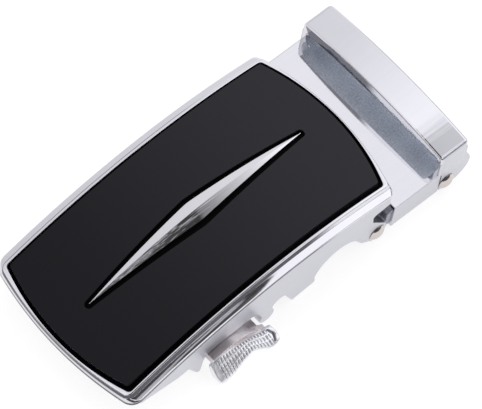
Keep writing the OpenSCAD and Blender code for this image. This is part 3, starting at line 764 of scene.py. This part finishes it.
plateBm = bmesh.new()
plateSide, plateEnd = clip["half"] - 0.1, clip["loopX"] + 0.2
recessX, strip = clip["recessX"], clip["nearStrip"]
recessBend = [(recessX + (plateEnd - recessX) * (1 - math.cos(math.radians(9 * i))),
               clip["recessBend"] + clip["recessBendRun"] * math.sin(math.radians(9 * i))) for i in range(11)]
prism(plateBm, [(clip["baseX"], -plateSide), (plateEnd, -plateSide), (plateEnd, -strip),
                (recessX + 0.5, -strip), (recessX + 0.15, 0.15 - strip), (recessX, 0.5 - strip)]
      + recessBend + [(plateEnd, plateSide), (clip["baseX"], plateSide)],
      lambda a, b, c: (a, b, c), (clip["plateLow"], clip["plateTop"]))
softenEdges(plateBm, 0.14, angle=50, segments=3)
frontLeft, frontRight, frontHalf = clip["baseX"] + 0.1, clip["baseX"] + 1.6, clip["inner"] + 0.2
prism(plateBm, [(frontLeft, 0.6), (frontRight, 0.6), (frontRight, clip["plateLow"] + 0.2),
                (frontLeft, clip["plateLow"] + 0.2)], alongY, (-frontHalf, frontHalf))
neck = {"half": 17.8, "radius": 2.2, "low": 1.2, "drop": 0.6, "shoulder": 1.4, "shoulderLow": 0.8,
        "shoulderHalf": 19.4, "shoulderDrop": 1.9, "soft": 0.25}
addRod(plateBm, clip["pinX"], clip["pinZ"], neck["radius"], -neck["half"], neck["half"], 48)
webBm = bmesh.new()
prism(webBm, [(clip["pinX"], neck["low"]), (clip["baseX"] + 1, neck["low"]),
              (clip["baseX"] + 1, clip["plateTop"] - neck["drop"]),
              (clip["baseX"] - 0.6, clip["plateTop"] - neck["drop"]),
              (clip["pinX"] + 0.6, clip["pinZ"] + neck["radius"] - 0.1)],
      alongY, (-neck["half"], neck["half"]))
shoulderLeft, shoulderRight = clip["baseX"] - neck["shoulder"], clip["baseX"] + 0.3
prism(webBm, [(shoulderLeft, neck["shoulderLow"]), (shoulderRight, neck["shoulderLow"]),
              (shoulderRight, clip["plateTop"] - neck["drop"] - 0.1),
              (shoulderLeft, clip["plateTop"] - neck["shoulderDrop"])],
      alongY, (-neck["shoulderHalf"], neck["shoulderHalf"]))
softenEdges(webBm, neck["soft"], angle=25, segments=3)

recessBm = bmesh.new()


def recessHeight(y):
    radius = loop["farFillet"] if y > 0 else loop["nearFillet"]
    over = min(max(abs(y) - clip["inner"] + radius, 0.0), radius)
    return min(clip["recessTop"] + radius - math.sqrt(radius**2 - over**2) + 0.01, clip["plateTop"] - 0.03)


recessHalf, recessLow = clip["recessHalf"], clip["plateLow"] + 0.05
recessAcross = [recessHalf * (1 - i / 60) for i in range(121)]
prism(recessBm, [(-recessHalf, recessLow), (recessHalf, recessLow)]
      + [(y, recessHeight(y)) for y in recessAcross], alongX, (recessX - 0.3, clip["loopX"] + 0.3))


def joined(name, parts, place, bodyName, nodes, sharpAngle=45):
    # Joins several closed shells, each with its own materials, into one piece.
    whole = bmesh.new()
    materials = []
    for bm, own in parts:
        bmesh.ops.recalc_face_normals(bm, faces=bm.faces)
        materials += [one for one in own if one not in materials]
        for f in bm.faces:
            f.material_index = materials.index(own[min(f.material_index, len(own) - 1)])
        scrap = bpy.data.meshes.new("scrap")
        bm.to_mesh(scrap)
        bm.free()
        whole.from_mesh(scrap)
        bpy.data.meshes.remove(scrap)
    return makePiece(name, whole, place, materials, bodyName, nodes, sharpAngle, outward=False)


clipParts = [(clipBm, [chrome, castMetal, paintedReflectionBarChrome, paintedShadeWallChrome]), (sideBm, [paintedShadeWallChrome]),
             (plateBm, [chrome]), (webBm, [paintedShadeNeckMetal]), (recessBm, [castMetal])]
clipPiece = joined("clipCasting", clipParts, onSurface, "clip", ["clip"])
print("clip made:", len(clipPiece.data.polygons), "faces")

# pawl
pawl = {"x": -18.3, "z": -4.9, "half": 17.8, "thick": 1.0, "barrel": 1.5, "window": 3.6, "shoulder": 1.5,
        "shoulderOut": -21.6, "arm": (-21.4, -20.4), "armFoot": (-1.0, -10.6), "toothHalf": 16.8,
        "tooth": [(-9.8, -5.8), (-8.4, -5.8), (-6.0, -0.71), (-6.7, -0.21)]}
pawlLine = [(-17.9, -4.3), (-14.6, -5.7), (-12.4, -5.3), (-9.7, -5.1), (-7.8, -5.5), (-5.6, -6.4),
            (-3.6, -7.8), (-2.4, -9.2)]


def smoothLine(points, steps=6):  # a smooth line through all the points
    made = []
    padded = [points[0]] + list(points) + [points[-1]]
    for p0, p1, p2, p3 in zip(padded, padded[1:], padded[2:], padded[3:]):
        for i in range(steps):
            t = i / steps
            weights = (-t + 2 * t**2 - t**3, 2 - 5 * t**2 + 3 * t**3, t + 4 * t**2 - 3 * t**3, t**3 - t**2)
            made.append(tuple(sum(w * v for w, v in zip(weights, four)) / 2 for four in zip(p0, p1, p2, p3)))
    return made + [points[-1]]


def bandOutline(points, thick):
    line = smoothLine(points)
    return line + [(x - 0.25, z - thick) for x, z in reversed(line)]


pawlBm = bmesh.new()
prism(pawlBm, bandOutline(pawlLine, pawl["thick"]), alongY, (-pawl["half"], pawl["half"]))
prism(pawlBm, bandOutline(pawlLine[1:], pawl["shoulder"]), alongY, (pawl["shoulderOut"], -pawl["half"]))
softenEdges(pawlBm, 0.15, angle=50, segments=3)
prism(pawlBm, bandOutline(pawlLine[6:] + [pawl["armFoot"]], pawl["thick"]), alongY, pawl["arm"])
prism(pawlBm, pawl["tooth"], alongY, (-pawl["toothHalf"], pawl["toothHalf"]))
for low, high in ((-pawl["half"], -pawl["window"]), (pawl["window"], pawl["half"])):
    addRod(pawlBm, pawl["x"], pawl["z"], pawl["barrel"], low, high)
makePiece("pawlPlate", pawlBm, onCase, steel, "pawl", ["pawl"], sharpAngle=45)
print("pawl made")

# release tab
tab = {"inner": -21.5, "reach": 3.7, "thick": 1.5, "roundness": 0.62, "ridges": 17, "ridgeHeight": 0.17,
       "ridgeRun": (0.1, 0.75), "lanes": ((0.09, 0.38), (0.4, 0.66), (0.68, 0.93)), "bowlDepth": 0.45}
tabRows = [  # x, inner edge height, outer edge height, share of the reach
    (-15.9, -7.6, -9.2, 0.92),
    (-15.0, -6.6, -9.9, 0.99),
    (-13.4, -5.9, -10.2, 1.0),
    (-11.6, -6.0, -9.9, 0.96),
    (-9.8, -6.4, -9.2, 0.88),
    (-8.0, -7.0, -8.8, 0.8),
    (-6.2, -7.7, -8.8, 0.76),
    (-4.4, -8.5, -9.9, 0.88),
    (-2.8, -9.2, -11.1, 1.0),
    (-1.2, -9.8, -11.3, 1.0),
    (0.4, -10.4, -11.2, 0.84)]
tabLines = [smoothLine([(row[0], row[i]) for row in tabRows], 8) for i in (1, 2, 3)]


def boxRound(value):  # makes the section a rounded box rather than an ellipse
    return math.copysign(abs(value) ** tab["roundness"], value)


def ridgeShares(u, lane):
    # How far a point is in a lane of ridges, in their run, and up a ridge.
    inLane = max(smoothStep(low, low + 0.05, lane) * (1 - smoothStep(high - 0.05, high, lane))
                 for low, high in tab["lanes"])
    start, run = tab["ridgeRun"]
    along = smoothStep(start - 0.02, start + 0.02, u) * (1 - smoothStep(0.87, 0.9, u))
    return inLane, along, 0.5 + 0.5 * math.cos(math.tau * (u - start) / run * tab["ridges"])


def bowlShare(u, lane):  # how deep a point is in the crescent at the grip's far end
    start = 0.93 - 0.12 * abs(lane - 0.5)
    lengthwise = smoothStep(start - 0.015, start, u) * (1 - smoothStep(start + 0.01, start + 0.03, u))
    return lengthwise * smoothStep(0.12, 0.2, lane) * (1 - smoothStep(0.8, 0.88, lane))


def tabPoint(u, v):
    # u runs along the tab, v once round its section: the grip face first, then the back.
    start, end = tabRows[0][0], tabRows[-1][0]
    x = start + (end - start) * u
    innerZ, outerZ, share = (between(line, x) for line in tabLines)
    outerY = tab["inner"] - tab["reach"] * share
    face = Vector((0, outerY - tab["inner"], outerZ - innerZ))
    width = face.length
    across = face / width
    out = Vector((0, across.z, -across.y))
    if out.z < 0:
        out = -out
    middle = Vector((x, (outerY + tab["inner"]) / 2, (outerZ + innerZ) / 2)) - out * tab["thick"] * 0.42
    side, height = boxRound(math.cos(math.tau * v)), boxRound(math.sin(math.tau * v))
    endRound = math.sqrt(max(1 - smoothStep(0.9, 1.0, abs(2 * u - 1)) ** 2 * 0.97, 0.0))
    place = middle - across * side * width / 2 * endRound + out * height * tab["thick"] / 2 * endRound
    if height > 0:  # ridges and the bowl at the far end are on the grip face only
        lane = (side + 1) / 2
        inLane, along, wave = ridgeShares(u, lane)
        place += out * tab["ridgeHeight"] * inLane * along * (wave**0.7)
        place -= out * tab["bowlDepth"] * bowlShare(u, lane)
    return place


tabBm = bmesh.new()
lengthSteps, roundSteps = 204, 96
bmesh.ops.create_grid(tabBm, x_segments=lengthSteps, y_segments=roundSteps, size=1.0)
for f in tabBm.faces:  # the grooves between the ridges and the end bowl get a darker metal: painted shade
    centre = (f.calc_center_median() + Vector((1, 1, 0))) / 2
    lane = (boxRound(math.cos(math.tau * centre.y)) + 1) / 2
    inLane, along, wave = ridgeShares(centre.x, lane)
    dark = inLane > 0.5 and along > 0.5 and wave < 0.26 or bowlShare(centre.x, lane) > 0.4
    f.material_index = 1 if centre.y < 0.5 and dark else 0
for v in tabBm.verts:
    v.co = tabPoint((v.co.x + 1) / 2, (v.co.y + 1) / 2)
bmesh.ops.remove_doubles(tabBm, verts=tabBm.verts, dist=0.0004)
bmesh.ops.holes_fill(tabBm, edges=tabBm.edges, sides=0)
tabPiece = makePiece("releaseGrip", tabBm, onCase, [gripChrome, paintedShadeGripGroove], "pawl",
                     ["release_tab"], sharpAngle=60)
print("release tab made:", len(tabPiece.data.polygons), "faces")

# CAD pieces that keep their shape
for nodeName, material in (("jaw", steel), ("pawl_pin", nickel), ("return_spring", steel)):
    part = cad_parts[nodeName]
    part.data.materials.clear()
    part.data.materials.append(material)

# floor, light and camera; each level is a place along a direction and the brightness there
studio = {"sky": 1.42, "tint": (0.975, 0.975, 1.0, 1), "keyWatts": 1.5, "horizon": 0.06, "floorGlow": 0.79,
          "darkest": 0.03, "streakPale": 0.42, "streakShare": 0.4,
          "streakLevels": [(0.4, 0.02), (0.53, 0.05), (0.61, 0.2), (0.72, 0.55)],
          "fadeLevels": [(-0.8, 0.0), (-0.7, 1.0), (0.17, 1.0), (0.25, 0.85), (0.4, 0.5), (0.55, 0.15),
                         (0.66, 0.0)],
          "acrossLevels": [(-0.4, 1.0), (0.1, 1.0), (0.3, 0.86), (0.48, 0.72), (0.9, 0.7)],
          "alongLevels": [(-0.9, 1.0), (-0.62, 0.95), (-0.45, 0.85), (-0.25, 0.85), (0.2, 0.92), (0.6, 1.0)]}
zones = {  # start, end and half width of the soft border, along a direction
    "streak": (-0.05, 0.05, 0.025),
    "streakAlong": (-2.0, 0.1, 0.03),
    "outer": (-0.4, 0.0, 0.03),
    "outerAlong": (-2.0, -0.16, 0.05),
    "wall": (-0.72, -0.22, 0.02),
    "wallAlong": (-0.75, 0.3, 0.015),
    "fade": (-0.22, 0.1, 0.04),
    "overhead": (0.5, 2.0, 0.06),
    "tall": (-2.0, -0.66, 0.04),
    "tallUp": (-0.2, 0.42, 0.05),
    "low": (-0.2, 0.2, 0.05),
    "front": (-2.0, 0.4, 0.05),
}
floorMaterial = makeMaterial("paleFloor", grainGroup, {
    "Color": (0.32, 0.32, 0.325, 1), "Pit Color": (0.31, 0.31, 0.315, 1), "Scale": 300.0, "Roughness": 0.8},
    metallic=0.0, bump=0.0, **{"Emission Color": (1, 1, 1, 1), "Emission Strength": studio["floorGlow"]})
floorBm = bmesh.new()
bmesh.ops.create_grid(floorBm, x_segments=8, y_segments=8, size=1.5)
floorMesh = bpy.data.meshes.new("floor")
floorBm.to_mesh(floorMesh)
floorBm.free()
floor = bpy.data.objects.new("floor", floorMesh)
floorMesh.materials.append(floorMaterial)
bpy.context.collection.objects.link(floor)


def makeStudio():
    world = bpy.data.worlds.new("studio")
    world.use_nodes = True
    tree = world.node_tree
    tree.nodes.clear()
    out = node(tree, "ShaderNodeOutputWorld")
    back = node(tree, "ShaderNodeBackground")
    tree.links.new(back.outputs[0], out.inputs["Surface"])
    way = node(tree, "ShaderNodeSeparateXYZ")
    tree.links.new(node(tree, "ShaderNodeTexCoord").outputs["Generated"], way.inputs[0])
    x, y, z = way.outputs

    def times(first, second):
        return mathNode(tree, "MULTIPLY", first, second)

    def band(value, name):  # 1 between the zone's two places, 0 outside them
        low, high, soft = zones[name]
        up = rangeNode(tree, value, low - soft, low + soft, interpolation_type="SMOOTHSTEP")
        down = rangeNode(tree, value, high - soft, high + soft, (1.0, 0.0), interpolation_type="SMOOTHSTEP")
        return times(up, down)

    def ramp(value, points):
        curve = node(tree, "ShaderNodeValToRGB")
        low, high = points[0][0], points[-1][0]
        tree.links.new(rangeNode(tree, value, low, high), curve.inputs["Fac"])
        stops = curve.color_ramp.elements
        while len(stops) < len(points):
            stops.new(0.5)
        for stop, (at, level) in zip(stops, points):
            stop.position = (at - low) / (high - low)
            stop.color = (level, level, level, 1)
        return curve.outputs["Color"]

    streakPlace = node(tree, "ShaderNodeCombineXYZ")
    tree.links.new(times(x, 2.2), streakPlace.inputs[0])
    tree.links.new(times(y, 34.0), streakPlace.inputs[1])
    streaks = ramp(noiseNode(tree, streakPlace.outputs[0], 1.0, 2.0, 0.6), studio["streakLevels"])
    # what the near bevel mirrors: a dark wall with one pale streak, ending in a slanted line
    drift = mathNode(tree, "SUBTRACT", mathNode(tree, "ADD", y, 0.48), times(x, 0.35))
    streakLine = times(band(drift, "streak"), band(x, "streakAlong"))
    outerPart = times(band(drift, "outer"), band(x, "outerAlong"))
    pale = times(mathNode(tree, "MAXIMUM", streakLine, outerPart), studio["streakPale"])
    darkLevel = mathNode(tree, "ADD", mathNode(tree, "MAXIMUM", pale, studio["darkest"]),
                         times(streaks, studio["streakShare"]))
    wallEnd = mathNode(tree, "SUBTRACT", x, times(y, 0.16))
    wallZone = times(band(y, "wall"), band(wallEnd, "wallAlong"))
    softZone = times(band(y, "fade"), ramp(x, studio["fadeLevels"]))
    inDark = times(mathNode(tree, "MAXIMUM", wallZone, softZone), band(z, "overhead"))
    mixed = node(tree, "ShaderNodeMix", data_type="FLOAT")
    tree.links.new(inDark, mixed.inputs["Factor"])
    tree.links.new(times(ramp(y, studio["acrossLevels"]), ramp(x, studio["alongLevels"])), mixed.inputs["A"])
    tree.links.new(darkLevel, mixed.inputs["B"])
    # a dim room low down in front, taller at the left
    tall = times(band(mathNode(tree, "MINIMUM", x, y), "tall"), band(z, "tallUp"))
    dim = times(mathNode(tree, "MAXIMUM", band(z, "low"), tall), band(y, "front"))
    room = rangeNode(tree, dim, 0.0, 1.0, (1.0, studio["horizon"]))
    level = times(times(mixed.outputs["Result"], room), studio["sky"])
    tree.links.new(level, back.inputs["Strength"])
    back.inputs["Color"].default_value = studio["tint"]
    bpy.context.scene.world = world


makeStudio()


def addLight(name, place, aim, watts, size, color=(1, 1, 1)):
    data = bpy.data.lights.new(name, "AREA")
    data.energy, data.shape, data.size, data.color = watts, "DISK", size, color
    lamp = bpy.data.objects.new(name, data)
    lamp.location = place
    lamp.rotation_mode = "QUATERNION"
    lamp.rotation_quaternion = (Vector(aim) - Vector(place)).to_track_quat("-Z", "Y")
    lamp.visible_glossy = False
    bpy.context.collection.objects.link(lamp)


addLight("topPanel", (0.05, 0.05, 0.8), (0, 0, 0), studio["keyWatts"], 1.2)

view = {"azimuth": 53.006, "elevation": 59.691, "roll": 12.2225, "pixelsPerMm": 5.171, "originU": 235.269,
        "originV": 234.981, "distance": 1.4}


def placeCamera():
    a, e, ro = (math.radians(view[key]) for key in ("azimuth", "elevation", "roll"))
    back = Vector((-math.cos(e) * math.sin(a), -math.cos(e) * math.cos(a), math.sin(e)))
    level = Vector((math.cos(a), -math.sin(a), 0))
    upright = back.cross(level)
    right = math.cos(ro) * level + math.sin(ro) * upright
    up = -math.sin(ro) * level + math.cos(ro) * upright
    perPixel = 0.001 / view["pixelsPerMm"]
    target = right * (241 - view["originU"]) * perPixel - up * (204.5 - view["originV"]) * perPixel
    data = bpy.data.cameras.new("camera")
    data.sensor_width = 36.0
    data.lens = 36.0 * view["distance"] / (482 * perPixel)
    data.clip_start, data.clip_end = 0.05, 20
    camera = bpy.data.objects.new("camera", data)
    turn = Matrix((right, up, back)).transposed().to_4x4()
    camera.matrix_world = Matrix.Translation(target + back * view["distance"]) @ turn
    bpy.context.collection.objects.link(camera)
    bpy.context.scene.camera = camera


placeCamera()
scene = bpy.context.scene
scene.view_settings.view_transform = "Standard"
scene.view_settings.look = "None"
print("studio and camera set")
